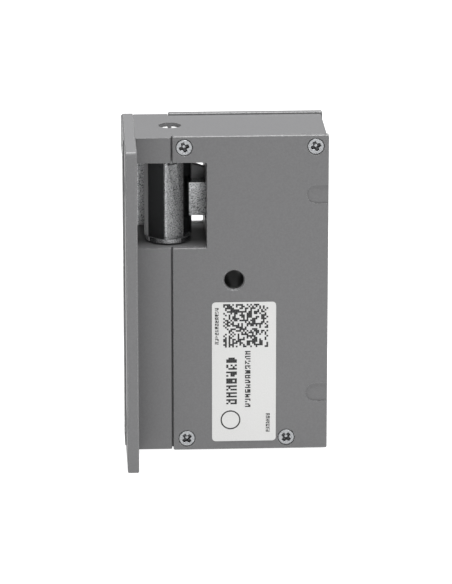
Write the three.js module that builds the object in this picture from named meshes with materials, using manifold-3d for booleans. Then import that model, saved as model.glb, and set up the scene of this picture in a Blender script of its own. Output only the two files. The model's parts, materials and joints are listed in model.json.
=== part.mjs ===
// Electric door strike: die-cast body, strike plate, pivoting keeper and solenoid lock.
// Millimetres. +X runs from the strike plate to the back of the body, +Y from the labelled
// cover to the other cover, +Z up. The pieces are drawn from the body's own corner, with X = 0
// at its front face, Y = 0 on the labelled cover and Z = 0 at the covers' lower edge, and are
// all carried by the same offset to the middle of the base at the end.
import * as THREE from "three";
import { mergeVertices } from "three/addons/utils/BufferGeometryUtils.js";
import Module from "manifold-3d";

const wasm = await Module();
wasm.setup();

// ---- body ----
const THICK = 32.5; // over both covers
const HIGH = 107; // near cover, bottom to top
const HIGH_FAR = 107.3; // far cover
const BACK = 62; // back edge of the covers
const COVER = 2.35; // cover thickness
const GAP = 0.05; // between pieces that touch
const CAST_LO = 0.4; // casting bottom
const CAST_HI = 106.6; // casting top
const CAST_BACK = 61.6; // casting back face
const BLOCK = 10.7; // depth of the full-thickness front block
const COVER_X = 11.15; // front edge of the covers
const CAST_NEAR = COVER + GAP; // casting faces under the covers
const CAST_FAR = THICK - COVER - GAP;

// ---- mouth ----
const MOUTH_LO = 69.47;
const MOUTH_HI = 98.2;
const MOUTH_X = 22.3; // back wall of the mouth
const WALL_X = 24.3; // chamber side of that wall

// ---- keeper, turning about Z ----
const PIVOT_X = 10.9;
const PIVOT_Y = 16.9;
const KEEPER_LO = 70.1;
const KEEPER_HI = 97.6;
const BOSS_R = 7.1;
const TAIL_X = 27; // end of the tail
const TAIL_Y0 = 13.4;
const TAIL_Y1 = 18.6;
const TAIL_Z0 = 76.9;
const TAIL_Z1 = 88.1;
const PIN_R = 2.5;
const PIN_HEAD_R = 3.5;
const PIN_TOP = 105.15; // top of its head, down in the casting

// ---- lock lever, turning about Y ----
const LEVER_X = 38;
const LEVER_Z = 93;
const LEVER_Y0 = 11.4;
const LEVER_Y1 = 13.2;

// ---- solenoid, plunger moving along Z ----
const COIL_X = 49.5;
const COIL_Y = 12.3;
const COIL_Z0 = 52;
const COIL_Z1 = 78.5;
const FRAME_T = 2;

// ---- plate ----
const PLATE_X0 = -4.46;
const PLATE_X1 = -0.72;
const PLATE_RELIEF = 0.15; // shallow step in its back where the body seats
const PLATE_STEP_Y = -0.6; // near edge of that step
const CAST_FRONT = PLATE_X1 - PLATE_RELIEF + GAP; // front face of the casting
const LIP = 0.4; // raised land on its front, beside the flange
const LIP_NEAR = -1;
const LIP_LOW = 1.9;
const SCREW_PROUD = 0.6; // plate screw heads in front of the plate
const PLATE_NEAR = -20;
const PLATE_TOP = 107.07;
const PLATE_LOW = -1;
const BAND_LOW = 96; // lower edge of the top band
const PLATE_FAR = 15; // far edge below the band

const COVER_SCREWS = [
  [15.0, 103.3],
  [57.75, 103.2],
  [15.6, 3.95],
  [48.5, 3.9],
];
const PLATE_SCREWS = [102.4, 65.3, 8];
const PLATE_SCREW_Y = 4.2;
const HOLE_X = 31.2; // body mounting hole
const HOLE_Z = 58.45;
const HOLE_R = 3.25;
const INLET_Z = 19.5; // cable inlet
const INLET_Y = 16.25;
const INLET_HALF_Y = 4;
const INLET_HALF_Z = 3.15; // also half the width of both cable-entry outlines
const UPPER_OUTLINE_Z = 87.15; // second cable-entry outline

// offset from the body's corner to the middle of the base
const SHIFT = [-(PLATE_X0 - SCREW_PROUD + BACK) / 2, -(PLATE_NEAR + THICK) / 2, -PLATE_LOW];

// ---- finishes ----
const finish = (color, roughness, metalness) =>
  new THREE.MeshStandardMaterial({ color, roughness, metalness });
const PAINT = () => finish(0x8b8b8d, 0.5, 0.2);
const ZINC = () => finish(0xb9bbbd, 0.35, 1);
const SINTERED = () => finish(0x9c9c9c, 0.5, 0.9);
const STEEL = () => finish(0xa7a9ab, 0.4, 1);

// ---- solids ----
function solid(geometry) {
  const bare = new THREE.BufferGeometry();
  const source = geometry.index ? geometry.toNonIndexed() : geometry;
  bare.setAttribute("position", source.getAttribute("position"));
  const merged = mergeVertices(bare, 1e-4);
  const index = merged.index.array;
  const kept = [];
  for (let i = 0; i < index.length; i += 3) {
    const [a, b, c] = [index[i], index[i + 1], index[i + 2]];
    if (a !== b && b !== c && c !== a) kept.push(a, b, c);
  }
  return new wasm.Manifold(
    new wasm.Mesh({
      numProp: 3,
      vertProperties: new Float32Array(merged.getAttribute("position").array),
      triVerts: new Uint32Array(kept),
    }),
  );
}

function joined(...pieces) {
  return pieces.reduce((a, b) => a.add(b));
}

function cut(body, ...tools) {
  return tools.reduce((a, b) => a.subtract(b), body);
}

function box(lo, hi) {
  const size = hi.map((v, i) => v - lo[i]);
  const g = new THREE.BoxGeometry(size[0], size[1], size[2]);
  g.translate((lo[0] + hi[0]) / 2, (lo[1] + hi[1]) / 2, (lo[2] + hi[2]) / 2);
  return solid(g);
}

const PLANES = {
  XY: new THREE.Matrix4(),
  XZ: new THREE.Matrix4().makeBasis(
    new THREE.Vector3(1, 0, 0),
    new THREE.Vector3(0, 0, 1),
    new THREE.Vector3(0, -1, 0),
  ),
  YZ: new THREE.Matrix4().makeBasis(
    new THREE.Vector3(0, 1, 0),
    new THREE.Vector3(0, 0, 1),
    new THREE.Vector3(1, 0, 0),
  ),
};

// an outline in one plane, drawn out along the third axis from `from` to `to`
function drawn(points, plane, from, to, bevel = 0) {
  const shape = points instanceof THREE.Shape ? points : new THREE.Shape(points);
  const g = new THREE.ExtrudeGeometry(shape, {
    depth: to - from - 2 * bevel,
    bevelEnabled: bevel > 0,
    bevelThickness: bevel,
    bevelSize: bevel,
    bevelOffset: -bevel,
    bevelSegments: 1,
    curveSegments: 12,
  });
  g.translate(0, 0, bevel);
  g.applyMatrix4(PLANES[plane]);
  if (plane === "XY") g.translate(0, 0, from);
  if (plane === "XZ") g.translate(0, to, 0);
  if (plane === "YZ") g.translate(from, 0, 0);
  return solid(g);
}

// corners given as [a, b, radius]; a radius of zero stays sharp
function outline(corners, steps = 5) {
  const out = [];
  corners.forEach(([a, b, radius = 0], i) => {
    const here = new THREE.Vector2(a, b);
    if (radius === 0) return out.push(here);
    const n = corners.length;
    const [pa, pb] = corners[(i + n - 1) % n];
    const [na, nb] = corners[(i + 1) % n];
    const toPrev = new THREE.Vector2(pa, pb).sub(here).normalize();
    const toNext = new THREE.Vector2(na, nb).sub(here).normalize();
    const half = Math.acos(THREE.MathUtils.clamp(toPrev.dot(toNext), -1, 1)) / 2;
    const centre = toPrev.clone().add(toNext).normalize();
    centre.multiplyScalar(radius / Math.sin(half)).add(here);
    const first = toPrev.multiplyScalar(radius / Math.tan(half)).add(here).sub(centre);
    const last = toNext.multiplyScalar(radius / Math.tan(half)).add(here).sub(centre);
    const start = first.angle();
    let sweep = last.angle() - start;
    if (sweep > Math.PI) sweep -= 2 * Math.PI;
    if (sweep < -Math.PI) sweep += 2 * Math.PI;
    for (let k = 0; k <= steps; k++) {
      const t = start + (sweep * k) / steps;
      out.push(new THREE.Vector2(Math.cos(t), Math.sin(t)).multiplyScalar(radius).add(centre));
    }
  });
  return out;
}

function rectangle(a0, b0, a1, b1, radius, steps = 5) {
  const corners = [
    [a0, b0, radius],
    [a1, b0, radius],
    [a1, b1, radius],
    [a0, b1, radius],
  ];
  return outline(corners, steps);
}

function circle(a, b, radius, sides = 32) {
  const out = [];
  for (let i = 0; i < sides; i++) {
    const t = (2 * Math.PI * i) / sides;
    out.push(new THREE.Vector2(a + radius * Math.cos(t), b + radius * Math.sin(t)));
  }
  return out;
}

// a round bar; `at` is its centre in the other two axes, in X, Y, Z order
function bar(axis, at, radius, from, to, sides = 24) {
  const plane = { X: "YZ", Y: "XZ", Z: "XY" }[axis];
  return drawn(circle(at[0], at[1], radius, sides), plane, from, to);
}

// a profile of [radius, height] from axis to axis, turned about Z
function turned(profile, sides = 24) {
  const points = profile.map(([r, z]) => new THREE.Vector2(r, z));
  const g = new THREE.LatheGeometry(points, sides);
  g.rotateX(Math.PI / 2);
  return solid(g);
}

// local X, Y, Z carried to three body directions, then moved
function faced(piece, x, y, z, at) {
  const m = new THREE.Matrix4().makeBasis(
    new THREE.Vector3(...x),
    new THREE.Vector3(...y),
    new THREE.Vector3(...z),
  );
  m.setPosition(...at);
  return piece.transform(m.toArray());
}

const HEAD_NEAR = [[1, 0, 0], [0, 0, 1], [0, -1, 0]]; // head towards -Y
const HEAD_FAR = [[1, 0, 0], [0, 0, -1], [0, 1, 0]]; // head towards +Y
const HEAD_FRONT = [[0, 1, 0], [0, 0, -1], [-1, 0, 0]]; // head towards -X
const HEAD_DOWN = [[1, 0, 0], [0, -1, 0], [0, 0, -1]]; // head towards -Z

// a screw with its head's top at Z = 0 and its shank running down
function countersunk(headR, headH, shankR, length, sides = 14) {
  return turned(
    [
      [0, -length],
      [shankR - 0.4, -length],
      [shankR, -length + 0.5],
      [shankR, -headH],
      [headR, -0.25],
      [headR, 0],
      [0, 0],
    ],
    sides,
  );
}

function panHead(headR, headH, shankR, length, sides = 10) {
  return turned(
    [
      [0, -length],
      [shankR - 0.3, -length],
      [shankR, -length + 0.4],
      [shankR, -headH],
      [headR, -headH],
      [headR, -0.5],
      [headR - 0.5, 0],
      [0, 0],
    ],
    sides,
  );
}

function crossRecess(reach, width, depth, turn = 0) {
  const across = box([-reach, -width / 2, -depth], [reach, width / 2, 1]);
  const along = box([-width / 2, -reach, -depth], [width / 2, reach, 1]);
  const middle = turned([[0, -depth - 0.3], [width * 0.75, -depth], [width * 1.05, 1], [0, 1]], 4);
  return joined(across, along, middle).rotate([0, 0, turn]);
}

function slotRecess(reach, width, depth, turn = 0) {
  return box([-reach, -width / 2, -depth], [reach, width / 2, 1]).rotate([0, 0, turn]);
}

// a helix about Z
class Helix extends THREE.Curve {
  constructor(radius, z0, z1, turns, at) {
    super();
    Object.assign(this, { radius, z0, z1, turns, at });
  }
  getPoint(t, target = new THREE.Vector3()) {
    const angle = 2 * Math.PI * this.turns * t;
    return target.set(
      this.at[0] + this.radius * Math.cos(angle),
      this.at[1] + this.radius * Math.sin(angle),
      this.z0 + (this.z1 - this.z0) * t,
    );
  }
}

function swept(path, radius, steps, sides = 8) {
  const g = new THREE.ExtrudeGeometry(new THREE.Shape(circle(0, 0, radius, sides)), {
    steps,
    bevelEnabled: false,
    extrudePath: path,
  });
  return solid(g);
}

// ---- housing ----
function housing() {
  const front = rectangle(CAST_FRONT, 0, BLOCK, THICK, 0.6, 3);
  const block = drawn(front, "XY", CAST_LO, CAST_HI);
  const rear = rectangle(BLOCK - 3, CAST_LO, CAST_BACK, CAST_HI, 0.6, 3);
  const middle = drawn(rear, "XZ", CAST_NEAR, CAST_FAR);
  const body = joined(block, middle);

  const mouth = box([-2, -2, MOUTH_LO], [MOUTH_X, THICK + 2, MOUTH_HI]);
  const lower = drawn(rectangle(16.5, 4.4, 58.6, 66, 1.5, 2), "XZ", -2, THICK + 2);
  const upper = drawn(rectangle(WALL_X, 60, 58.6, 102.2, 1.5, 2), "XZ", -2, THICK + 2);
  const tailSlot = box([MOUTH_X - 1, 5, 76], [WALL_X + 1, TAIL_Y1 + 0.6, 89.3]);
  const core = box([4, 7, 12], [17, 25.5, 58]);
  const hollow = cut(body, mouth, lower, upper, tailSlot, core);

  const bosses = COVER_SCREWS.map(([x, z]) => bar("Y", [x, z], 4, CAST_NEAR, CAST_FAR));
  const trimmed = joined(...bosses).intersect(box([12, 0, CAST_LO], [CAST_BACK, THICK, CAST_HI]));
  const tube = bar("Y", [HOLE_X, HOLE_Z], 5.5, CAST_NEAR, CAST_FAR, 24);
  const rib = box([22, 9, 56], [HOLE_X, 23.5, 61]);
  const web = box([16, 9, 60.5], [WALL_X + 1, 23.5, 66.5]);
  const stop = drawn(
    outline([
      [17.6, 84],
      [MOUTH_X + 0.5, 84],
      [MOUTH_X + 0.5, 91.2],
      [21.2, 91.75],
      [19.6, 92.3],
      [17.6, 92.65],
    ]),
    "XZ",
    TAIL_Y1 + 1,
    22.8,
  );
  const leverLug = drawn(
    outline([
      [33.6, 103],
      [33.6, LEVER_Z - 4, 3],
      [42.4, LEVER_Z - 4, 3],
      [42.4, 103],
    ]),
    "XZ",
    LEVER_Y1 + 0.4,
    20,
  );
  const shelf = box([41, 6, 46.5], [59, 18.6, 50 - GAP]);
  const ledgeLeft = box([16, 21.6 + GAP, 10], [20.6, 27, 44]);
  const ledgeRight = box([54.6, 21.6 + GAP, 26], [59, 27, 44]);
  const filled = joined(
    hollow,
    trimmed,
    tube,
    rib,
    web,
    stop,
    leverLug,
    shelf,
    ledgeLeft,
    ledgeRight,
  );

  const holes = COVER_SCREWS.map(([x, z]) => bar("Y", [x, z], 1.6, -1, THICK + 1, 12));
  const plateHoles = PLATE_SCREWS.map((z) => bar("X", [PLATE_SCREW_Y, z], 2.1, -3, 8.6, 14));
  const pinBore = bar("Z", [PIVOT_X, PIVOT_Y], PIN_R + 0.1, 61.5, HIGH + 2);
  const pinHead = bar("Z", [PIVOT_X, PIVOT_Y], PIN_HEAD_R + 0.25, PIN_TOP - 2.3, HIGH + 2, 28);
  const springLeg = bar("Z", [PIVOT_X + 3.7, PIVOT_Y], 0.55, 66.5, 70, 12);
  const bore = bar("Y", [HOLE_X, HOLE_Z], HOLE_R, -1, THICK + 1, 28);
  const entry = (z, from) =>
    box(
      [from, INLET_Y - INLET_HALF_Y, z - INLET_HALF_Z],
      [65, INLET_Y + INLET_HALF_Y, z + INLET_HALF_Z],
    );
  const inlet = entry(INLET_Z, 58);
  const dimple = entry(UPPER_OUTLINE_Z, CAST_BACK - 0.6);
  const leverBore = bar("Y", [LEVER_X, LEVER_Z], 1.6, 8, 22, 14);
  const screwBores = [44.5, 54.5].map((x) => bar("Z", [x, COIL_Y], 1.4, 45, 51, 12));
  const boardBores = [
    bar("Y", [18.6, 39], 1.1, 20, 26, 10),
    bar("Y", [56.6, 30], 1.1, 20, 26, 10),
  ];
  return cut(
    filled,
    ...holes,
    ...plateHoles,
    pinBore,
    pinHead,
    springLeg,
    bore,
    inlet,
    dimple,
    leverBore,
    ...screwBores,
    ...boardBores,
  );
}

// ---- covers ----
function cover(outer, inner, front, top, mouthLow) {
  const corners = [
    [front, 0, 0.5],
    [BACK, 0, 0.5],
    [BACK, top, 0.5],
    [front, top, 0.5],
    [front, MOUTH_HI, 0.5],
    [MOUTH_X, MOUTH_HI, 0.4],
    [MOUTH_X, mouthLow, 0.4],
    [front, mouthLow, 0.5],
  ];
  const out = Math.sign(outer - inner);
  const from = Math.min(outer, inner);
  const to = Math.max(outer, inner);
  const plate = drawn(outline(corners, 3), "XZ", from, to, 0.2);
  const pair = (a, b) => [Math.min(a, b), Math.max(a, b)];
  const sinks = COVER_SCREWS.flatMap(([x, z]) => {
    const hole = bar("Y", [x, z], 1.7, from - 1, to + 1, 10);
    const sink = bar("Y", [x, z], 2.9, ...pair(outer - 0.55 * out, outer + out), 16);
    const cone = faced(
      turned([[0, -1.9], [1.7, -1.9], [2.85, -0.5], [2.85, 0], [0, 0]], 16),
      ...(out < 0 ? HEAD_NEAR : HEAD_FAR),
      [x, outer, z],
    );
    return [hole, sink, cone];
  });
  const bore = bar("Y", [HOLE_X, HOLE_Z], HOLE_R, from - 1, to + 1, 24);
  const rim = faced(
    turned([[0, -1], [HOLE_R - 0.55, -1], [HOLE_R + 0.45, 0], [HOLE_R + 0.45, 1], [0, 1]], 24),
    ...(out < 0 ? HEAD_NEAR : HEAD_FAR),
    [HOLE_X, outer, HOLE_Z],
  );
  const entries = [INLET_Z, UPPER_OUTLINE_Z].map((z) => {
    const u = outline(
      [
        [54.85, z - INLET_HALF_Z, INLET_HALF_Z - 0.01],
        [BACK + 2, z - INLET_HALF_Z],
        [BACK + 2, z + INLET_HALF_Z],
        [54.85, z + INLET_HALF_Z, INLET_HALF_Z - 0.01],
      ],
      4,
    );
    return drawn(u, "XZ", ...pair(outer - 0.4 * out, outer + out));
  });
  return cut(plate, ...sinks, bore, rim, ...entries);
}

function coverScrew(x, z, near, turn) {
  const screw = cut(countersunk(2.65, 1.55, 1.45, 9), crossRecess(1.65, 0.62, 1.1, turn));
  const at = [x, near ? 0.22 : THICK - 0.22, z];
  return faced(screw, ...(near ? HEAD_NEAR : HEAD_FAR), at);
}

// ---- strike plate ----
function strikePlate() {
  const corners = [
    [PLATE_NEAR, PLATE_LOW, 0.9],
    [PLATE_FAR, PLATE_LOW, 0.9],
    [PLATE_FAR, BAND_LOW, 1.5],
    [THICK, BAND_LOW, 0.9],
    [THICK, PLATE_TOP, 0.9],
    [PLATE_NEAR, PLATE_TOP, 0.9],
  ];
  const plate = drawn(outline(corners, 4), "YZ", PLATE_X0, PLATE_X1, 0.35);
  const sink = turned([[0, -2.5], [2.3, -2.5], [3.7, -1], [3.7, 1], [0, 1]], 16);
  const land = outline(
    [
      [LIP_NEAR, LIP_LOW, 1.2],
      [PLATE_FAR - 0.4, LIP_LOW, 0.6],
      [PLATE_FAR - 0.4, BAND_LOW + 0.4, 1.5],
      [THICK - 0.4, BAND_LOW + 0.4, 0.6],
      [THICK - 0.4, PLATE_TOP - 0.4, 0.6],
      [LIP_NEAR, PLATE_TOP - 0.4, 1.2],
    ],
    2,
  );
  const lip = drawn(land, "YZ", PLATE_X0 - LIP, PLATE_X0 + 0.6);
  const relief = box(
    [PLATE_X1 - PLATE_RELIEF, PLATE_STEP_Y, PLATE_LOW - 1],
    [PLATE_X1 + 1, THICK + 1, PLATE_TOP + 1],
  );
  const holes = PLATE_SCREWS.flatMap((z) => [
    bar("X", [PLATE_SCREW_Y, z], 2.3, PLATE_X0 - 1, PLATE_X1 + 1, 14),
    faced(sink, ...HEAD_FRONT, [PLATE_X0, PLATE_SCREW_Y, z]),
  ]);
  const wide = turned([[0, -2.6], [2.4, -2.6], [4.2, -0.4], [4.2, 1], [0, 1]], 16);
  const fixing = [14, 93].flatMap((z) => [
    bar("X", [-11, z], 2.4, PLATE_X0 - 1, PLATE_X1 + 1, 14),
    faced(wide, ...HEAD_FRONT, [PLATE_X0, -11, z]),
  ]);
  return cut(joined(plate, lip), relief, ...holes, ...fixing);
}

function plateScrew(z, turn) {
  const profile = [[0, -11.6], [1.55, -11.6], [1.95, -11.1], [1.95, -1.9], [3.35, -0.2]];
  profile.push([3.35, LIP - 0.1], [2.5, SCREW_PROUD - 0.08], [0, SCREW_PROUD]);
  const screw = cut(turned(profile, 16), crossRecess(2.1, 0.85, 1.5, turn));
  return faced(screw, ...HEAD_FRONT, [PLATE_X0, PLATE_SCREW_Y, z]);
}

// ---- keeper ----
function keeper() {
  const lobe = outline(
    [
      [2.2, 11.2, 0.6],
      [3.5, 9.0, 0.4],
      [8.9, 3.5, 0.9],
      [15.3, 7.8, 0.8],
      [15.3, 14.0],
      [10.9, 17.5],
      [5.6, 16.5],
      [2.6, 14.8, 0.4],
    ],
    3,
  );
  const wing = outline(
    [
      [0.2, 26.8, 0.5],
      [0.2, 30, 0.7],
      [10, 30, 1.2],
      [10, 17],
      [5.6, 17],
      [5.6, 26.8, 0.8],
    ],
    3,
  );
  const foot = circle(10.05, 11.1, 7.4, 32);
  const solidBody = joined(
    drawn(lobe, "XY", KEEPER_LO + 1.1, KEEPER_HI - 0.4),
    drawn(wing, "XY", KEEPER_LO, KEEPER_HI),
    drawn(circle(PIVOT_X, PIVOT_Y, BOSS_R, 32), "XY", KEEPER_LO, KEEPER_HI),
    drawn(foot, "XY", KEEPER_LO, KEEPER_LO + 1.3),
    box([PIVOT_X, TAIL_Y0, TAIL_Z0], [TAIL_X, TAIL_Y1, TAIL_Z1]),
  );
  const pocket = box([-2, 14.8, 60], [5.6, 26.8, 110]);
  const bore = bar("Z", [PIVOT_X, PIVOT_Y], PIN_R + 0.1, 60, 110);
  const springRoom = bar("Z", [PIVOT_X, PIVOT_Y], 4.75, KEEPER_LO - 1, 77.5);
  const notch = bar("Z", [11.4, 4.8], 1.8, 96.3, 110, 12);
  return cut(solidBody, pocket, bore, springRoom, notch);
}

function keeperPin() {
  const pin = turned(
    [
      [0, 62.2],
      [PIN_R - 0.4, 62.2],
      [PIN_R, 62.7],
      [PIN_R, PIN_TOP - 2.2],
      [PIN_HEAD_R, PIN_TOP - 2.2],
      [PIN_HEAD_R, PIN_TOP - 0.4],
      [PIN_HEAD_R - 0.4, PIN_TOP],
      [0, PIN_TOP],
    ],
    24,
  );
  const slot = slotRecess(4, 1.1, 1, 90).translate([0, 0, PIN_TOP]);
  return cut(pin, slot).translate([PIVOT_X, PIVOT_Y, 0]);
}

// its lower leg stands in the floor of the mouth and runs into the first turn
function keeperSpring() {
  const helix = new Helix(3.7, 71.4, 76.4, 4, [PIVOT_X, PIVOT_Y]);
  const points = [67.2, 68.4, 69.6].map((z) => new THREE.Vector3(PIVOT_X + 3.7, PIVOT_Y, z));
  const spans = 34;
  for (let i = 2; i <= spans; i++) points.push(helix.getPoint(i / spans));
  return swept(new THREE.CatmullRomCurve3(points), 0.4, 46, 5);
}

// ---- lock lever ----
function lockLever() {
  const x = LEVER_X;
  const z = LEVER_Z;
  const shape = outline(
    [
      [24.6, 88.6, 0.5],
      [28.2, 88.6, 0.5],
      [28.2, z - 1.6, 1.5],
      [x - 4, z - 3.4, 3],
      [x + 3, z - 3.6, 3],
      [x + 8, z - 2.5, 2],
      [x + 15.2, z - 2.5, 1.5],
      [x + 15.2, z + 2.5, 1.5],
      [x + 6, z + 2.5, 2],
      [x, z + 4.6, 3],
      [x - 6, z + 3, 3],
      [24.6, z + 2.2, 1.5],
    ],
    4,
  );
  const plate = drawn(shape, "XZ", LEVER_Y0, LEVER_Y1);
  const slot = drawn(
    rectangle(COIL_X - 1.75, z - 1.25, COIL_X + 2.35, z + 1.25, 1.24, 5),
    "XZ",
    LEVER_Y0 - 1,
    LEVER_Y1 + 1,
  );
  return cut(plate, bar("Y", [x, z], 1.65, 5, 20, 24), slot);
}

function leverPin() {
  const profile = [[0, -10.4], [1.2, -10.4], [1.5, -10], [1.5, -1.4], [2.5, -1.4]];
  profile.push([2.5, -0.3], [2.2, 0], [0, 0]);
  return faced(turned(profile, 24), ...HEAD_NEAR, [LEVER_X, LEVER_Y0 - 1.6, LEVER_Z]);
}

// ---- solenoid ----
function plunger() {
  const core = turned(
    [
      [0, 61.2],
      [2.4, 61.2],
      [3, 61.9],
      [3, 87.3],
      [4.9, 87.3],
      [4.9, 88.2],
      [3, 88.2],
      [3, 95.6],
      [2.6, 96],
      [0, 96],
    ],
    24,
  ).translate([COIL_X, COIL_Y, 0]);
  const fork = box([COIL_X - 5, LEVER_Y0 - 0.3, 89.2], [COIL_X + 5, LEVER_Y1 + 0.3, 98]);
  const bore = bar("Y", [COIL_X, LEVER_Z], 1.05, COIL_Y - 5, COIL_Y + 5, 20);
  return cut(core, fork, bore);
}

function linkPin() {
  return bar("Y", [COIL_X, LEVER_Z], 1, COIL_Y - 2.6, COIL_Y + 2.6, 20);
}

function plungerSpring() {
  return swept(new Helix(4.1, 81.1, 86.7, 4, [COIL_X, COIL_Y]), 0.4, 40, 5);
}

function solenoidFrame() {
  const x0 = 38.6;
  const x1 = 58.1;
  const [y0, y1] = [6, 18.6];
  const back = box([x0, y0, COIL_Z0 - FRAME_T], [x0 + FRAME_T, y1, COIL_Z1 + FRAME_T]);
  const top = box([x0, y0, COIL_Z1], [x1, y1, COIL_Z1 + FRAME_T]);
  const base = box([x0, y0, COIL_Z0 - FRAME_T], [x1, y1, COIL_Z0]);
  const hole = bar("Z", [COIL_X, COIL_Y], 3.25, COIL_Z1 - 1, COIL_Z1 + 5);
  const stem = bar("Z", [COIL_X, COIL_Y], 2.3, COIL_Z0 - 5, COIL_Z0 + 1);
  const bores = [44.5, 54.5].map((x) => bar("Z", [x, COIL_Y], 1.3, 45, 53, 20));
  return cut(joined(back, top, base), hole, stem, ...bores);
}

function bobbin() {
  const flange = (z) => bar("Z", [COIL_X, COIL_Y], 8.3, z, z + 1.2, 28);
  const tube = bar("Z", [COIL_X, COIL_Y], 4.4, COIL_Z0 + 0.2, COIL_Z1 - 0.2);
  const body = joined(tube, flange(COIL_Z0 + 0.2), flange(COIL_Z1 - 1.4));
  return cut(body, bar("Z", [COIL_X, COIL_Y], 3.35, COIL_Z0 - 2, COIL_Z1 + 2));
}

function coilWinding() {
  const outer = bar("Z", [COIL_X, COIL_Y], 8, COIL_Z0 + 1.5, COIL_Z1 - 1.5, 28);
  return cut(outer, bar("Z", [COIL_X, COIL_Y], 4.45, COIL_Z0, COIL_Z1));
}

function polePiece() {
  return turned([[0, 50.2], [2.2, 50.2], [2.2, 52.1], [3.2, 52.1], [3.2, 60.6], [0, 60.6]], 28)
    .translate([COIL_X, COIL_Y, 0]);
}

function solenoidScrew(x) {
  const screw = cut(panHead(2.3, 1.5, 1.2, 6.8), crossRecess(1.3, 0.5, 0.8));
  return faced(screw, ...HEAD_DOWN, [x, COIL_Y, 44.9]);
}

// ---- electronics ----
function circuitBoard() {
  const corners = [
    [17, 10, 0.8],
    [58.1, 10, 0.8],
    [58.1, 43.6, 0.8],
    [17, 43.6, 0.8],
  ];
  const board = drawn(outline(corners, 3), "XZ", 20, 21.6);
  return cut(
    board,
    bar("Y", [18.6, 39], 1.1, 18, 24, 16),
    bar("Y", [56.6, 30], 1.1, 18, 24, 16),
  );
}

function boardScrew(x, z) {
  const screw = cut(panHead(1.9, 1.2, 0.95, 5.6), crossRecess(1.1, 0.45, 0.7, 30));
  return faced(screw, ...HEAD_NEAR, [x, 18.75, z]);
}

function terminalBlock() {
  const body = box([46, 10, INLET_Z - 5.2], [54.2, 20 - GAP, INLET_Z + 5.2]);
  const bevel = box([53.2, 8, INLET_Z - 6], [56, 12, INLET_Z + 6]);
  const mouths = [-2.5, 2.5].map((dz) =>
    box([50, 14.6, INLET_Z + dz - 1.5], [56, 17.8, INLET_Z + dz + 1.5]),
  );
  const wells = [-2.5, 2.5].map((dz) => bar("Y", [50, INLET_Z + dz], 1.8, 8, 13.8, 20));
  return cut(body, bevel, ...mouths, ...wells);
}

function terminalScrew(dz) {
  const screw = cut(turned([[0, -2.2], [1.6, -2.2], [1.6, 0], [0, 0]], 20), slotRecess(2, 0.5, 0.7, 15));
  return faced(screw, ...HEAD_NEAR, [50, 11.4, INLET_Z + dz]);
}

function rectifier() {
  const body = drawn(rectangle(26, 30, 34.5, 38.5, 0.6, 2), "XZ", 16.4, 20 - GAP);
  return cut(body, box([25, 16, 37], [27, 17, 39]));
}

function capacitor() {
  const profile = [[0, 0], [3.9, 0], [4, 0.3], [4, 1.2], [3.75, 1.6], [4, 2]];
  profile.push([4, 10.6], [3.6, 11], [0, 11]);
  return faced(turned(profile, 20), ...HEAD_NEAR, [30, 20 - GAP, 19]);
}

function coilLead(points) {
  const path = new THREE.CatmullRomCurve3(points.map((p) => new THREE.Vector3(...p)));
  return swept(path, 0.5, 10, 8);
}

function label() {
  return drawn(rectangle(23.9, 2.9, 45, 50.9, 1.2, 5), "XZ", -0.17, -0.02);
}

// ---- assembly ----
const strike = new THREE.Group();
strike.name = "electric_door_strike";

function put(name, piece, material) {
  const mesh = piece.translate(SHIFT).getMesh();
  const n = mesh.numProp;
  const positions = new Float32Array(mesh.numVert * 3);
  for (let i = 0; i < mesh.numVert; i++) {
    positions.set(mesh.vertProperties.subarray(i * n, i * n + 3), i * 3);
  }
  const g = new THREE.BufferGeometry();
  g.setAttribute("position", new THREE.BufferAttribute(positions, 3));
  g.setIndex(new THREE.BufferAttribute(new Uint32Array(mesh.triVerts), 1));
  g.computeVertexNormals();
  const node = new THREE.Mesh(g, material);
  node.name = name;
  strike.add(node);
}

put("housing", housing(), PAINT());
put("near_cover", cover(0, COVER, COVER_X, HIGH, MOUTH_LO), PAINT());
const farCover = cover(THICK, THICK - COVER, BLOCK + 0.1, HIGH_FAR, MOUTH_LO + 0.4);
put("far_cover", farCover, PAINT());
const NEAR_TURNS = [20, 8, 35, 50];
COVER_SCREWS.forEach(([x, z], i) => {
  put(`near_cover_screw_${i + 1}`, coverScrew(x, z, true, NEAR_TURNS[i]), ZINC());
  put(`far_cover_screw_${i + 1}`, coverScrew(x, z, false, 12 + 27 * i), ZINC());
});
put("strike_plate", strikePlate(), PAINT());
PLATE_SCREWS.forEach((z, i) => {
  put(`plate_screw_${i + 1}`, plateScrew(z, 15 + 31 * i), ZINC());
});
put("keeper", keeper(), SINTERED());
put("keeper_pin", keeperPin(), STEEL());
put("keeper_spring", keeperSpring(), STEEL());
put("lock_lever", lockLever(), STEEL());
put("lever_pin", leverPin(), STEEL());
put("plunger", plunger(), STEEL());
put("link_pin", linkPin(), STEEL());
put("plunger_spring", plungerSpring(), STEEL());
put("solenoid_frame", solenoidFrame(), ZINC());
put("bobbin", bobbin(), finish(0x1f1f20, 0.5, 0));
put("coil_winding", coilWinding(), finish(0x8a4b22, 0.35, 0.6));
put("pole_piece", polePiece(), STEEL());
put("solenoid_screw_1", solenoidScrew(44.5), ZINC());
put("solenoid_screw_2", solenoidScrew(54.5), ZINC());
put("circuit_board", circuitBoard(), finish(0x1d5a37, 0.45, 0));
put("board_screw_1", boardScrew(18.6, 39), ZINC());
put("board_screw_2", boardScrew(56.6, 30), ZINC());
put("terminal_block", terminalBlock(), finish(0x2c6a46, 0.5, 0));
put("terminal_screw_1", terminalScrew(-2.5), ZINC());
put("terminal_screw_2", terminalScrew(2.5), ZINC());
put("rectifier", rectifier(), finish(0x1b1b1c, 0.5, 0));
put("capacitor", capacitor(), finish(0x23262e, 0.35, 0));
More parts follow.
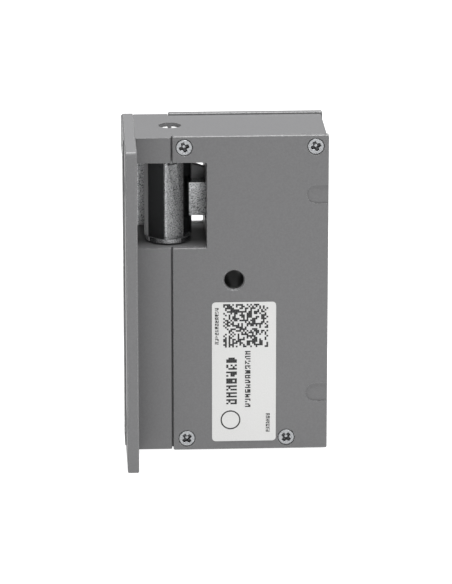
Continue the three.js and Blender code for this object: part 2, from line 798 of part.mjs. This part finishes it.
const LEAD_1 = [[43.9, 19.05, 61], [43.6, 19.4, 55], [43.5, 19.4, 48], [42.8, 19.35, 40.5]];
const LEAD_2 = [[41.9, 18.9, 63], [41.8, 19.4, 56], [41.4, 19.4, 48], [39.6, 19.35, 40.5]];
put("coil_lead_1", coilLead(LEAD_1), finish(0x9a2320, 0.5, 0));
put("coil_lead_2", coilLead(LEAD_2), finish(0x202022, 0.5, 0));
put("label", label(), finish(0xe8e8e6, 0.6, 0));

export default strike;
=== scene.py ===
"""Looks of the electric door strike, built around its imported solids. Metres, +Z up."""
import json
import math

import bmesh
import bpy
import numpy as np
from mathutils import Euler, Matrix, Vector


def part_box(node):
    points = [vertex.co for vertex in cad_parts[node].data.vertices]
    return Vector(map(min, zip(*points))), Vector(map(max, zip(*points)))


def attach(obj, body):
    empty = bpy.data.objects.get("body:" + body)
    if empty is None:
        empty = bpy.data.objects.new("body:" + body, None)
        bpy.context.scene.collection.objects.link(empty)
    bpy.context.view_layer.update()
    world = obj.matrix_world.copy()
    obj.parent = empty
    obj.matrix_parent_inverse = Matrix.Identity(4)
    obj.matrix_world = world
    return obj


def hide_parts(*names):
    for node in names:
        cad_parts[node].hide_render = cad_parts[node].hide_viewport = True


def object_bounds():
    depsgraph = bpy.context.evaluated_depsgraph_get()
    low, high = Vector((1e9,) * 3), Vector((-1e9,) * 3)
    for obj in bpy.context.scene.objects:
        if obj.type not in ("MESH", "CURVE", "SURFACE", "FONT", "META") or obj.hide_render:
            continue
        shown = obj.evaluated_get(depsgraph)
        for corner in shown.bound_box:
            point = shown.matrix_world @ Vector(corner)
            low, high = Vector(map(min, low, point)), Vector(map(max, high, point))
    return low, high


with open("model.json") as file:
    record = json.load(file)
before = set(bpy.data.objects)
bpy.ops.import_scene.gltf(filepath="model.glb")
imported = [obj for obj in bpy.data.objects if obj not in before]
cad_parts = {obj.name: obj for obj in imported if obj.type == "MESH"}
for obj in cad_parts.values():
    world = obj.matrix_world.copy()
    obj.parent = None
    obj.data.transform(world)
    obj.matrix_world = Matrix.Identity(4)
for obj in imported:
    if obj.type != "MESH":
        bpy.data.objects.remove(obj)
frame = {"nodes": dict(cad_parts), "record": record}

MM = 0.001
cad_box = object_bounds()
scene = bpy.context.scene
nodes = frame["nodes"]
record = frame["record"]
body_of_node = {n: b for b, ns in record["behaviour"]["bodies"].items() for n in ns}


# ---- Camera ----
# A long lens from a little over a metre, slightly above the body and to the strike plate's
# side, so that the labelled cover is seen almost square on and the top face as a narrow band.
camera_data = bpy.data.cameras.new("camera")
camera_data.sensor_width = 36
camera_data.lens = 222.84
camera_data.clip_start = 0.05
camera_data.clip_end = 50
camera = bpy.data.objects.new("camera", camera_data)
camera.location = Vector((-54.37, -1137.95, 396.2)) * MM
camera.rotation_euler = Euler((math.radians(90 - 16.74), math.radians(0.02), math.radians(-2.76)))
scene.collection.objects.link(camera)
scene.camera = camera
scene.view_settings.view_transform = "Standard"


# ---- Floor and light ----
# A white card that glows evenly, as a lit table under a product does, one wide soft light
# overhead, and a small one in front that reaches into the mouth. The room round it is dim.
def linear(hex_colour):
    """sRGB hex to linear RGBA: each channel through the sRGB curve."""
    channels = [int(hex_colour[i : i + 2], 16) / 255 for i in (1, 3, 5)]
    return [c / 12.92 if c <= 0.04045 else ((c + 0.055) / 1.055) ** 2.4 for c in channels] + [1]


def add(tree, kind, inputs=None, **settings):
    """A node of one kind: inputs gives sockets a value or a link, settings set its properties."""
    made = tree.nodes.new(kind)
    for name, value in settings.items():
        setattr(made, name, value)
    for socket, source in (inputs or {}).items():
        if isinstance(source, bpy.types.NodeSocket):
            tree.links.new(source, made.inputs[socket])
        else:
            made.inputs[socket].default_value = source
    return made


def new_material(name, roughness, metallic=0.0):
    """An empty material: its node tree and its shader, already joined to the output."""
    made = bpy.data.materials.new(name)
    made.use_nodes = True
    tree = made.node_tree
    tree.nodes.clear()
    shader = add(tree, "ShaderNodeBsdfPrincipled", {"Roughness": roughness, "Metallic": metallic})
    add(tree, "ShaderNodeOutputMaterial", {"Surface": shader.outputs["BSDF"]})
    return made, tree, shader


def new_object(name, vertices, faces, smooth=False):
    """An object in the scene from an array of points and a list of faces."""
    mesh = bpy.data.meshes.new(name)
    mesh.from_pydata(np.asarray(vertices).tolist(), [], [tuple(f) for f in faces])
    mesh.polygons.foreach_set("use_smooth", [smooth] * len(mesh.polygons))
    made = bpy.data.objects.new(name, mesh)
    scene.collection.objects.link(made)
    return made


FLOOR_REACH = 6.0
floor_z = cad_box[0][2]
floor_corners = np.array([(-1, -1, 0), (1, -1, 0), (1, 1, 0), (-1, 1, 0)]) * FLOOR_REACH
floor = new_object("floor", floor_corners + (0, 0, floor_z), [(0, 1, 2, 3)])
card, tree, shader = new_material("matt white card", 0.9)
shader.inputs["Base Color"].default_value = linear("#8c8c8c")
shader.inputs["Specular IOR Level"].default_value = 0.0
shader.inputs["Emission Color"].default_value = linear("#ffffff")
shader.inputs["Emission Strength"].default_value = 0.98
floor.data.materials.append(card)

world = bpy.data.worlds.new("dim room")
world.use_nodes = True
world.node_tree.nodes["Background"].inputs["Color"].default_value = linear("#ffffff")
world.node_tree.nodes["Background"].inputs["Strength"].default_value = 0.1
scene.world = world


def soft_light(name, place, target, size, power):
    """A square light at a place in metres, turned to face a target."""
    data = bpy.data.lights.new(name, "AREA")
    data.size = size
    data.energy = power
    made = bpy.data.objects.new(name, data)
    made.location = place
    made.rotation_euler = (Vector(target) - Vector(place)).to_track_quat("-Z", "Y").to_euler()
    scene.collection.objects.link(made)


BODY_MIDDLE = (0, 0, 0.055)
soft_light("overhead", (0.08, 0.0, 1.1), BODY_MIDDLE, 0.7, 26)
soft_light("front", (0.14, -1.2, 0.42), BODY_MIDDLE, 0.25, 3.8)


# ---- Housing ----
# One zinc pressure die casting, deburred and sprayed satin grey. Spray leaves a faint grain in
# tone and gloss. Along the cast edges light specks are painted in: partly wear of the thin film,
# partly painted highlight.
def grain(tree, size_mm, detail=2.0):
    """Noise over the piece's own coordinates, its largest lumps of a given size."""
    place = add(tree, "ShaderNodeTexCoord").outputs["Object"]
    scale = 1 / (size_mm * MM)
    return add(
        tree,
        "ShaderNodeTexNoise",
        {"Vector": place, "Scale": scale, "Detail": detail, "Roughness": 0.6},
    ).outputs["Fac"]


def tone(tree, shader, mask, dark, light, low=0.35, high=0.65):
    """Base colour from dark to light as the mask goes from low to high."""
    ramp = add(tree, "ShaderNodeValToRGB", {"Fac": mask})
    for stop, place, colour in zip(ramp.color_ramp.elements, (low, high), (dark, light)):
        stop.position = place
        stop.color = linear(colour)
    tree.links.new(ramp.outputs["Color"], shader.inputs["Base Color"])


def relief(tree, shader, height, depth_mm):
    """The height pushed into the shader as a bump of that depth."""
    bump = add(tree, "ShaderNodeBump", {"Height": height, "Distance": depth_mm * MM})
    tree.links.new(bump.outputs["Normal"], shader.inputs["Normal"])


MERGE = 2e-6
FLAT_ANGLE = math.radians(0.6)
CREASE = math.radians(32)


def fit(made, name):
    """The finished piece stands for a CAD node: its body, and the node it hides."""
    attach(made, body_of_node[name])
    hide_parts(name)
    return made


def finished(name, material, round_mm=0.12, segments=2, edge_material=None, crease=CREASE):
    """The node's own solid with its triangles merged into faces and its edges rounded. The
    rounded edges may have a finish of their own. Faces that meet at less than `crease` are
    shaded as one."""
    mesh = nodes[name].data.copy()
    work = bmesh.new()
    work.from_mesh(mesh)
    bmesh.ops.remove_doubles(work, verts=work.verts, dist=MERGE)
    bmesh.ops.dissolve_limit(work, angle_limit=FLAT_ANGLE, verts=work.verts, edges=work.edges)
    work.to_mesh(mesh)
    work.free()
    mesh.materials.clear()
    mesh.materials.append(material)
    mesh.polygons.foreach_set("use_smooth", [True] * len(mesh.polygons))
    mesh.set_sharp_from_angle(angle=crease)
    made = bpy.data.objects.new(name + "_finished", mesh)
    scene.collection.objects.link(made)
    if round_mm:
        bevel = made.modifiers.new("edges", "BEVEL")
        bevel.width = round_mm * MM
        bevel.segments = segments
        bevel.limit_method = "ANGLE"
        bevel.angle_limit = CREASE
        bevel.use_clamp_overlap = True
        bevel.harden_normals = True
        if edge_material:
            mesh.materials.append(edge_material)
            bevel.material = 1
    return fit(made, name)


SPRAY_GRAIN_MM = 0.5  # finer on the real film, drawn coarse enough to show
SPRAY_DEPTH_MM = 0.012
EDGE_SPECK_MM = 0.9


def satin_paint(name, dark, light):
    """Sprayed satin paint on metal: a matt dielectric with a fine speckled tone."""
    made, tree, shader = new_material(name, 0.48)
    fine = grain(tree, SPRAY_GRAIN_MM)
    tone(tree, shader, fine, dark, light)
    relief(tree, shader, fine, SPRAY_DEPTH_MM)
    return made


def worn_and_highlit_paint(name, dark, light):
    """The same paint on a rounded edge with light specks: partly bare metal where the film is
    worn, partly painted highlight.
    """
    made, tree, shader = new_material(name, 0.42)
    specks = grain(tree, EDGE_SPECK_MM, 4.0)
    tone(tree, shader, specks, dark, light, 0.46, 0.6)
    relief(tree, shader, specks, SPRAY_DEPTH_MM)
    return made


# Light specks on every rounded edge: edge wear and painted highlight.
edge_wear_and_highlight = worn_and_highlit_paint("satin grey paint, thin on an edge", "#808081", "#d6d6d4")
casting_paint = satin_paint("satin grey paint on cast zinc", "#656566", "#6a6a6b")
housing = finished("housing", casting_paint, 0.25, 3, edge_wear_and_highlight)

# The mounting hole's wall is a near-black metal: painted shade for the unlit inside of the bore.
HOLE_X, HOLE_Z, HOLE_REACH = 2.73, 59.45, 3.4
PAINTED, HOLE_SHADE = 0, 2


def of_faces(made, what):
    """One row of three for each face: its `center` in metres, or its `normal`."""
    rows = np.empty(len(made.data.polygons) * 3)
    made.data.polygons.foreach_get(what, rows)
    return rows.reshape(-1, 3)


# Painted shade: a near-black metal on the bore's faces, so the hole reads dark.
hole_painted_shade, tree, shader = new_material("near-black zinc, painted shade in the mounting hole", 0.3, 1.0)
tone(tree, shader, grain(tree, 0.3), "#1e1e1f", "#2a2a2b")
housing.data.materials.append(hole_painted_shade)
x, _, z = of_faces(housing, "center").T / MM
in_hole = np.hypot(x - HOLE_X, z - HOLE_Z) < HOLE_REACH
housing.data.polygons.foreach_set("material_index", np.where(in_hole, HOLE_SHADE, PAINTED))


# ---- Covers ----
# Two blanked steel covers, painted with the body, sunk at each screw and stamped with two
# outlines where a cable may enter.
cover_paint = satin_paint("satin grey paint on pressed cover", "#666667", "#6c6c6d")
FLAT_CREASE = math.radians(8)  # keeps a wide flat face flat up to its shallow slopes
for side in ("near_cover", "far_cover"):
    finished(side, cover_paint, 0.18, 2, edge_wear_and_highlight, FLAT_CREASE)


# ---- Strike plate ----
# Flat steel plate, blanked, tumbled so that its edges are round, and painted.
plate_paint = satin_paint("satin grey paint on steel plate", "#6a6a6b", "#6f6f70")
finished("strike_plate", plate_paint, 0.25, 3, edge_wear_and_highlight, FLAT_CREASE)


# ---- Screws ----
# Machine screws, cold headed and bright zinc plated. The heads that show have a cross recess,
# punched cold: four tapering wings that meet in a deeper middle, with soft lips. The deeper
# parts of the wings are a dark zinc: painted shade.
TURN_STEPS = 96
RIM_STEPS = 34


def smoothstep(x):
    """3x^2 - 2x^3 between 0 and 1, flat outside."""
    x = np.clip(x, 0, 1)
    return x * x * (3 - 2 * x)


def cross_recess(r, angle, reach, width, depth):
    """Depth of the recess at polar points. `off` is the angle from the nearest wing's centre
    line; a wing's wall rises over a soft lip at its sides and end, and the floor falls towards
    a round, flat-bottomed middle."""
    off = (angle + math.pi / 4) % (math.pi / 2) - math.pi / 4
    across, along = r * np.abs(np.sin(off)), r * np.cos(off)
    half = width / 2 * (1 - 0.2 * along / reach)
    side = smoothstep((half - across) / (0.3 * half) + 0.5)
    end = smoothstep((reach - along) / (0.14 * reach) + 0.5)
    middle = smoothstep((0.62 * reach - r) / (0.3 * reach))
    return depth * np.maximum(side * end * (0.85 - 0.25 * along / reach), middle)


def screw_surface(profile, head_rings, recess):
    """A profile of (radius, height) turned about Z. Its first rings, which cross the head from
    the middle to the rim, are lowered by the recess."""
    r, z = np.array(profile).T
    angle = np.linspace(0, 2 * math.pi, TURN_STEPS, endpoint=False)
    rr, aa = np.meshgrid(r, angle, indexing="ij")
    zz = np.repeat(z[:, None], TURN_STEPS, axis=1)
    zz[:head_rings] -= recess(rr[:head_rings], aa[:head_rings])
    points = np.stack([rr * np.cos(aa), rr * np.sin(aa), zz], axis=-1)[1:-1].reshape(-1, 3)
    rings = len(r) - 2
    ends = [(0, 0, zz[0, 0]), (0, 0, z[-1])]
    i, j = np.meshgrid(np.arange(rings - 1), np.arange(TURN_STEPS), indexing="ij")
    a, b = i * TURN_STEPS + j, i * TURN_STEPS + (j + 1) % TURN_STEPS
    quads = np.stack([a, a + TURN_STEPS, b + TURN_STEPS, b], axis=-1).reshape(-1, 4).tolist()
    turn = np.arange(TURN_STEPS)
    after = (turn + 1) % TURN_STEPS
    top, last = rings * TURN_STEPS, (rings - 1) * TURN_STEPS
    caps = [(top, p, q) for p, q in zip(turn, after)]
    caps += [(top + 1, last + q, last + p) for p, q in zip(turn, after)]
    return np.vstack([points, ends]), quads + caps


def screw_head(name, out, turn_deg, head_r, head_h, shank_r, length, reach, proud=0.0):
    """A screw from those sizes in mm, its head's middle where the node's box ends along `out`,
    turned about its own axis. The rim is rounded and the head may stand proud in a low dome."""
    low, high = (Vector(corner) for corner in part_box(name))
    axis = Vector(out)
    place = (low + high) / 2
    for i in range(3):
        if axis[i]:
            place[i] = high[i] if axis[i] > 0 else low[i]
    flat = np.linspace(0, head_r - 0.28, RIM_STEPS - 4)
    rim = [(head_r - 0.17, -0.02), (head_r - 0.08, -0.06), (head_r - 0.02, -0.14)]
    profile = [(r, -proud * (r / head_r) ** 2) for r in flat]
    profile += [(r, z - proud) for r, z in rim] + [(head_r, -proud - 0.26)]
    profile += [(shank_r, -head_h), (shank_r, -length + 0.5), (shank_r - 0.4, -length)]
    profile.append((0, -length))

    def recess(r, angle):
        return cross_recess(r, angle, reach, 0.8 * reach, 0.72 * head_h)

    vertices, faces = screw_surface(profile, RIM_STEPS, recess)
    spin = Matrix.Rotation(math.radians(turn_deg), 3, "Z")
    turn = axis.to_track_quat("Z", "Y").to_matrix() @ spin
    placed = vertices * MM @ np.array(turn).T + np.array(place)
    made = new_object(name + "_turned", placed, faces, smooth=True)
    made.data.materials.append(zinc)
    made.data.materials.append(recess_painted_shade)
    on_head = (RIM_STEPS - 2) * TURN_STEPS
    x, y, _ = vertices[np.array(faces[:on_head])].mean(axis=1).T
    r = np.hypot(x, y)
    # Painted shade: the deeper faces of the recess get the dark zinc.
    in_recess = (recess(r, np.arctan2(y, x)) > 0.3 * head_h) & (r > 0.3 * reach)
    recess_shade = np.zeros(len(faces), dtype=int)
    recess_shade[:on_head] = in_recess
    made.data.polygons.foreach_set("material_index", recess_shade)
    made.data.set_sharp_from_angle(angle=math.radians(50))
    return fit(made, name)


PLATING_GRAIN_MM = 0.3


def plated_zinc(name, dark, light, roughness):
    """Zinc plating: metal, bright, with a cloudy, faintly pitted surface."""
    made, tree, shader = new_material(name, roughness, 1.0)
    cloud = grain(tree, PLATING_GRAIN_MM, 3.0)
    tone(tree, shader, cloud, dark, light)
    relief(tree, shader, cloud, 0.01)
    return made


zinc = plated_zinc("bright zinc plating", "#77787a", "#b9bbbd", 0.36)
# Painted shade for the cross recess: a dark zinc on its deeper faces.
recess_painted_shade = plated_zinc("dark zinc, painted shade in the cross recess", "#2a2a2b", "#5a5a5c", 0.5)
COVER_SCREW = dict(head_r=2.65, head_h=1.55, shank_r=1.45, length=9, reach=1.55)
PLATE_SCREW = dict(head_r=3.35, head_h=2.5, shank_r=1.95, length=12.2, reach=2.1, proud=0.3)
NEAR_TURNS = (20, 22, 40, 50)
FAR_SPREAD, PLATE_SPREAD = 31, 34  # turns the rest differ by, as a driver leaves them
for number, turn in enumerate(NEAR_TURNS, 1):
    screw_head(f"near_cover_screw_{number}", (0, -1, 0), turn, **COVER_SCREW)
    screw_head(f"far_cover_screw_{number}", (0, 1, 0), FAR_SPREAD * turn, **COVER_SCREW)
for number in (1, 2, 3):
    screw_head(f"plate_screw_{number}", (-1, 0, 0), PLATE_SPREAD * number, **PLATE_SCREW)
for name in nodes:
    if name.startswith(("solenoid_screw", "board_screw", "terminal_screw")):
        finished(name, zinc, 0.05)


# ---- Keeper ----
# Pressed and sintered from steel powder, so its skin is speckled with fine pits. The slanted
# face that the latch rides over and the faces beside the housing are ground smooth. One narrow
# face is a light matte grey: painted light. It turns on a steel pin with a slotted head.
SINTER_GRAIN_MM = 0.32


def sintered_steel(name):
    """Sintered steel: metal with a speckle of bright grains and dark pits."""
    made, tree, shader = new_material(name, 0.46, 1.0)
    speckle = grain(tree, SINTER_GRAIN_MM, 4.0)
    tone(tree, shader, speckle, "#242425", "#bcbdbe", 0.36, 0.62)
    middle = tree.nodes["Color Ramp"].color_ramp.elements.new(0.44)
    middle.color = linear("#8c8d8e")
    relief(tree, shader, speckle, 0.05)
    return made


def turned_steel(name, dark, light, roughness):
    """Bright steel, turned or drawn: metal with a fine streaky tone."""
    made, tree, shader = new_material(name, roughness, 1.0)
    streak = grain(tree, 0.2)
    tone(tree, shader, streak, dark, light)
    return made


keeper = finished("keeper", sintered_steel("sintered steel"), 0.15)
keeper.data.materials.append(turned_steel("ground steel", "#858687", "#8a8b8c", 0.2))
keeper.data.materials.append(satin_paint("light matte grey, painted light on the keeper's narrow face", "#a9a9aa", "#b2b2b3"))
GROUND, PAINTED_LIGHT_FACE = 1, 2
TAIL_ROOT_X = -10
facing_x, facing_y, facing_z = of_faces(keeper, "normal").T
before_tail = of_faces(keeper, "center")[:, 0] < TAIL_ROOT_X * MM
finish = np.zeros(len(facing_x), dtype=int)
finish[(facing_x < -0.6) & (facing_y < -0.6)] = GROUND
finish[(facing_x > 0.6) & (abs(facing_z) < 0.1) & before_tail] = GROUND
# Painted light: the narrow face turned to the left and near gets a light matte grey.
finish[(abs(facing_x + 0.86) < 0.05) & (abs(facing_y + 0.51) < 0.05)] = PAINTED_LIGHT_FACE
keeper.data.polygons.foreach_set("material_index", finish)

PIN_R, PIN_HEAD_R, PIN_HEAD_H, PIN_CROWN = 2.5, 3.5, 2.2, 0.28
PIN_SLOT, PIN_SLOT_DEPTH = 1.1, 1.0


def slot(r, angle):
    """Depth of a straight slot along Y: flat-floored, with soft lips."""
    across = np.abs(r * np.cos(angle))
    return PIN_SLOT_DEPTH * smoothstep((PIN_SLOT / 2 - across) / (0.25 * PIN_SLOT) + 0.5)


pin_low, pin_high = (np.array(corner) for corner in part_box("keeper_pin"))
pin_length = (pin_high - pin_low)[2] / MM
pin_profile = [(r, PIN_CROWN) for r in np.linspace(0, PIN_HEAD_R - 0.3, RIM_STEPS - 2)]
pin_profile += [(PIN_HEAD_R - 0.1, PIN_CROWN - 0.08), (PIN_HEAD_R, PIN_CROWN - 0.3)]
pin_profile += [(PIN_HEAD_R, -PIN_HEAD_H), (PIN_R, -PIN_HEAD_H), (PIN_R, 0.5 - pin_length)]
pin_profile += [(PIN_R - 0.4, -pin_length), (0, -pin_length)]
pin_points, pin_faces = screw_surface(pin_profile, RIM_STEPS, slot)
pin_top = np.array([*(pin_low + pin_high)[:2] / 2, pin_high[2]])
pin = new_object("keeper_pin_turned", pin_points * MM + pin_top, pin_faces, smooth=True)
pin.data.materials.append(satin_paint("white zinc flake coat", "#b4b4b4", "#c6c6c6"))
pin.data.set_sharp_from_angle(angle=math.radians(50))
fit(pin, "keeper_pin")
bright_steel = turned_steel("bright turned steel", "#a5a7a9", "#c4c6c8", 0.25)
spring_steel = turned_steel("drawn spring wire", "#707173", "#8f9193", 0.35)
finished("keeper_spring", spring_steel, 0)


# ---- Lock lever, plunger and solenoid ----
# A blanked lever, a turned plunger and pins, a folded steel frame with zinc plating, and a
# nylon bobbin wound with enamelled copper wire.
for name in ("lock_lever", "lever_pin", "plunger", "link_pin", "pole_piece"):
    finished(name, bright_steel, 0.08)
finished("plunger_spring", spring_steel, 0)
finished("solenoid_frame", zinc, 0.15)


def moulded(name, dark, light, roughness=0.5):
    """Moulded plastic: one colour, with the fine texture of the tool."""
    made, tree, shader = new_material(name, roughness)
    texture = grain(tree, 0.25)
    tone(tree, shader, texture, dark, light)
    relief(tree, shader, texture, 0.006)
    return made


finished("bobbin", moulded("black moulded nylon", "#1c1c1d", "#242425"), 0.1)
finished("coil_winding", turned_steel("enamelled copper wire", "#7a3a16", "#a65a28", 0.3), 0.1)


# ---- Electronics ----
# A small board with a bridge rectifier, a smoothing capacitor and a two-way terminal block,
# joined to the coil by two insulated leads.
finished("circuit_board", moulded("solder mask on laminate", "#17492c", "#1d5735", 0.35), 0.1)
finished("terminal_block", moulded("green polyamide", "#2a6b44", "#34794f"), 0.15)
finished("rectifier", moulded("black epoxy", "#171718", "#202021"), 0.15)
finished("capacitor", moulded("shrunk sleeve", "#20242e", "#282d38", 0.3), 0.1)
finished("coil_lead_1", moulded("red wire insulation", "#8e1f1c", "#a12825", 0.4), 0)
finished("coil_lead_2", moulded("black wire insulation", "#1a1a1b", "#222223", 0.4), 0)


# ---- Label ----
# White self-adhesive paper, printed in black. The print is a plain stand-in: a square of loose
# cells, blocks in rows where there is writing, and a ring for the maker's sign.
paper, tree, shader = new_material("white label paper", 0.6)
tone(tree, shader, grain(tree, 0.4), "#d0d0cf", "#d5d5d4")
finished("label", paper, 0)
label_low, label_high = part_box("label")
PRINT_FRONT = label_low[1] - 0.015 * MM
PRINT_BACK = label_low[1] + 0.005 * MM
CELL_INSET = 0.005


def cells(u0, v0, u1, v1, columns, rows, fill, seed, gap_every=0):
    """Rectangles of a grid over the label's own millimetres, each inked with a chance of fill.
    With gap_every, each such row of cells is left clear and its neighbours are mostly inked,
    which makes a line of blocks."""
    chance = np.full((rows, columns), fill)
    if gap_every:
        chance[::gap_every] = chance[gap_every - 2 :: gap_every] = 0.88
        chance[gap_every - 1 :: gap_every] = 0
    inked = np.random.default_rng(seed).random((rows, columns)) < chance
    row, column = np.nonzero(inked)
    du, dv = (u1 - u0) / columns, (v1 - v0) / rows
    low = np.stack([u0 + column * du, v0 + row * dv], axis=-1)
    inset = np.array([du, dv]) * CELL_INSET
    return np.hstack([low + inset, low + (du, dv) - inset])


def printed(name, rectangles):
    """A thin closed box of ink on the paper for each rectangle (u0, v0, u1, v1)."""
    u0, v0, u1, v1 = (rectangles * MM).T
    x0, x1, z0, z1 = label_low[0] + u0, label_low[0] + u1, label_low[2] + v0, label_low[2] + v1
    front, back = np.full_like(x0, PRINT_FRONT), np.full_like(x0, PRINT_BACK)
    corners = [(x0, z0), (x1, z0), (x1, z1), (x0, z1)]
    ring = [np.stack([x, y, z], axis=-1) for y in (front, back) for x, z in corners]
    vertices = np.stack(ring, axis=1).reshape(-1, 3)
    box = np.array(
        [(0, 1, 2, 3), (7, 6, 5, 4), (0, 4, 5, 1), (1, 5, 6, 2), (2, 6, 7, 3), (3, 7, 4, 0)]
    )
    faces = (box[None] + 8 * np.arange(len(rectangles))[:, None, None]).reshape(-1, 4)
    made = new_object(name, vertices, faces.tolist())
    made.data.materials.append(ink)
    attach(made, body_of_node["label"])


ink, tree, shader = new_material("black label ink", 0.5)
shader.inputs["Base Color"].default_value = linear("#1b1b1c")
blocks = [
    cells(3.7, 32.5, 18.5, 47.4, 25, 25, 0.54, 4),
    cells(4.7, 12.8, 8.2, 29, 5, 27, 0.5, 7, 4),
    cells(10.9, 11.8, 12.7, 31.2, 5, 47, 0.45, 9, 4),
    cells(1.0, 33.6, 2.2, 46.1, 5, 47, 0.45, 12, 4),
    cells(17.8, 3.1, 19.1, 9.5, 5, 27, 0.4, 15, 4),
]
printed("label_print", np.vstack(blocks))

RING_PLACE, RING_R, RING_STROKE, RING_SIDES = (6.1, 7.4), 3.3, 0.45, 64
ring_angle = np.arange(RING_SIDES) * 2 * math.pi / RING_SIDES
section = [(RING_R, PRINT_FRONT), (RING_R, PRINT_BACK)]
section += [(RING_R - RING_STROKE, PRINT_BACK), (RING_R - RING_STROKE, PRINT_FRONT)]
ring_points = np.array(
    [
        (
            label_low[0] + (RING_PLACE[0] + r * np.cos(ring_angle)) * MM,
            np.full(RING_SIDES, y),
            label_low[2] + (RING_PLACE[1] + r * np.sin(ring_angle)) * MM,
        )
        for r, y in section
    ]
)
ring_points = ring_points.transpose(0, 2, 1).reshape(-1, 3)
k, i = np.meshgrid(np.arange(4), np.arange(RING_SIDES), indexing="ij")
k_next, i_next = (k + 1) % 4 * RING_SIDES, (i + 1) % RING_SIDES
ring_faces = np.stack([k * RING_SIDES + i, k_next + i, k_next + i_next, k * RING_SIDES + i_next])
ring = new_object("label_ring", ring_points, ring_faces.reshape(4, -1).T.tolist())
ring.data.materials.append(ink)
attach(ring, body_of_node["label"])
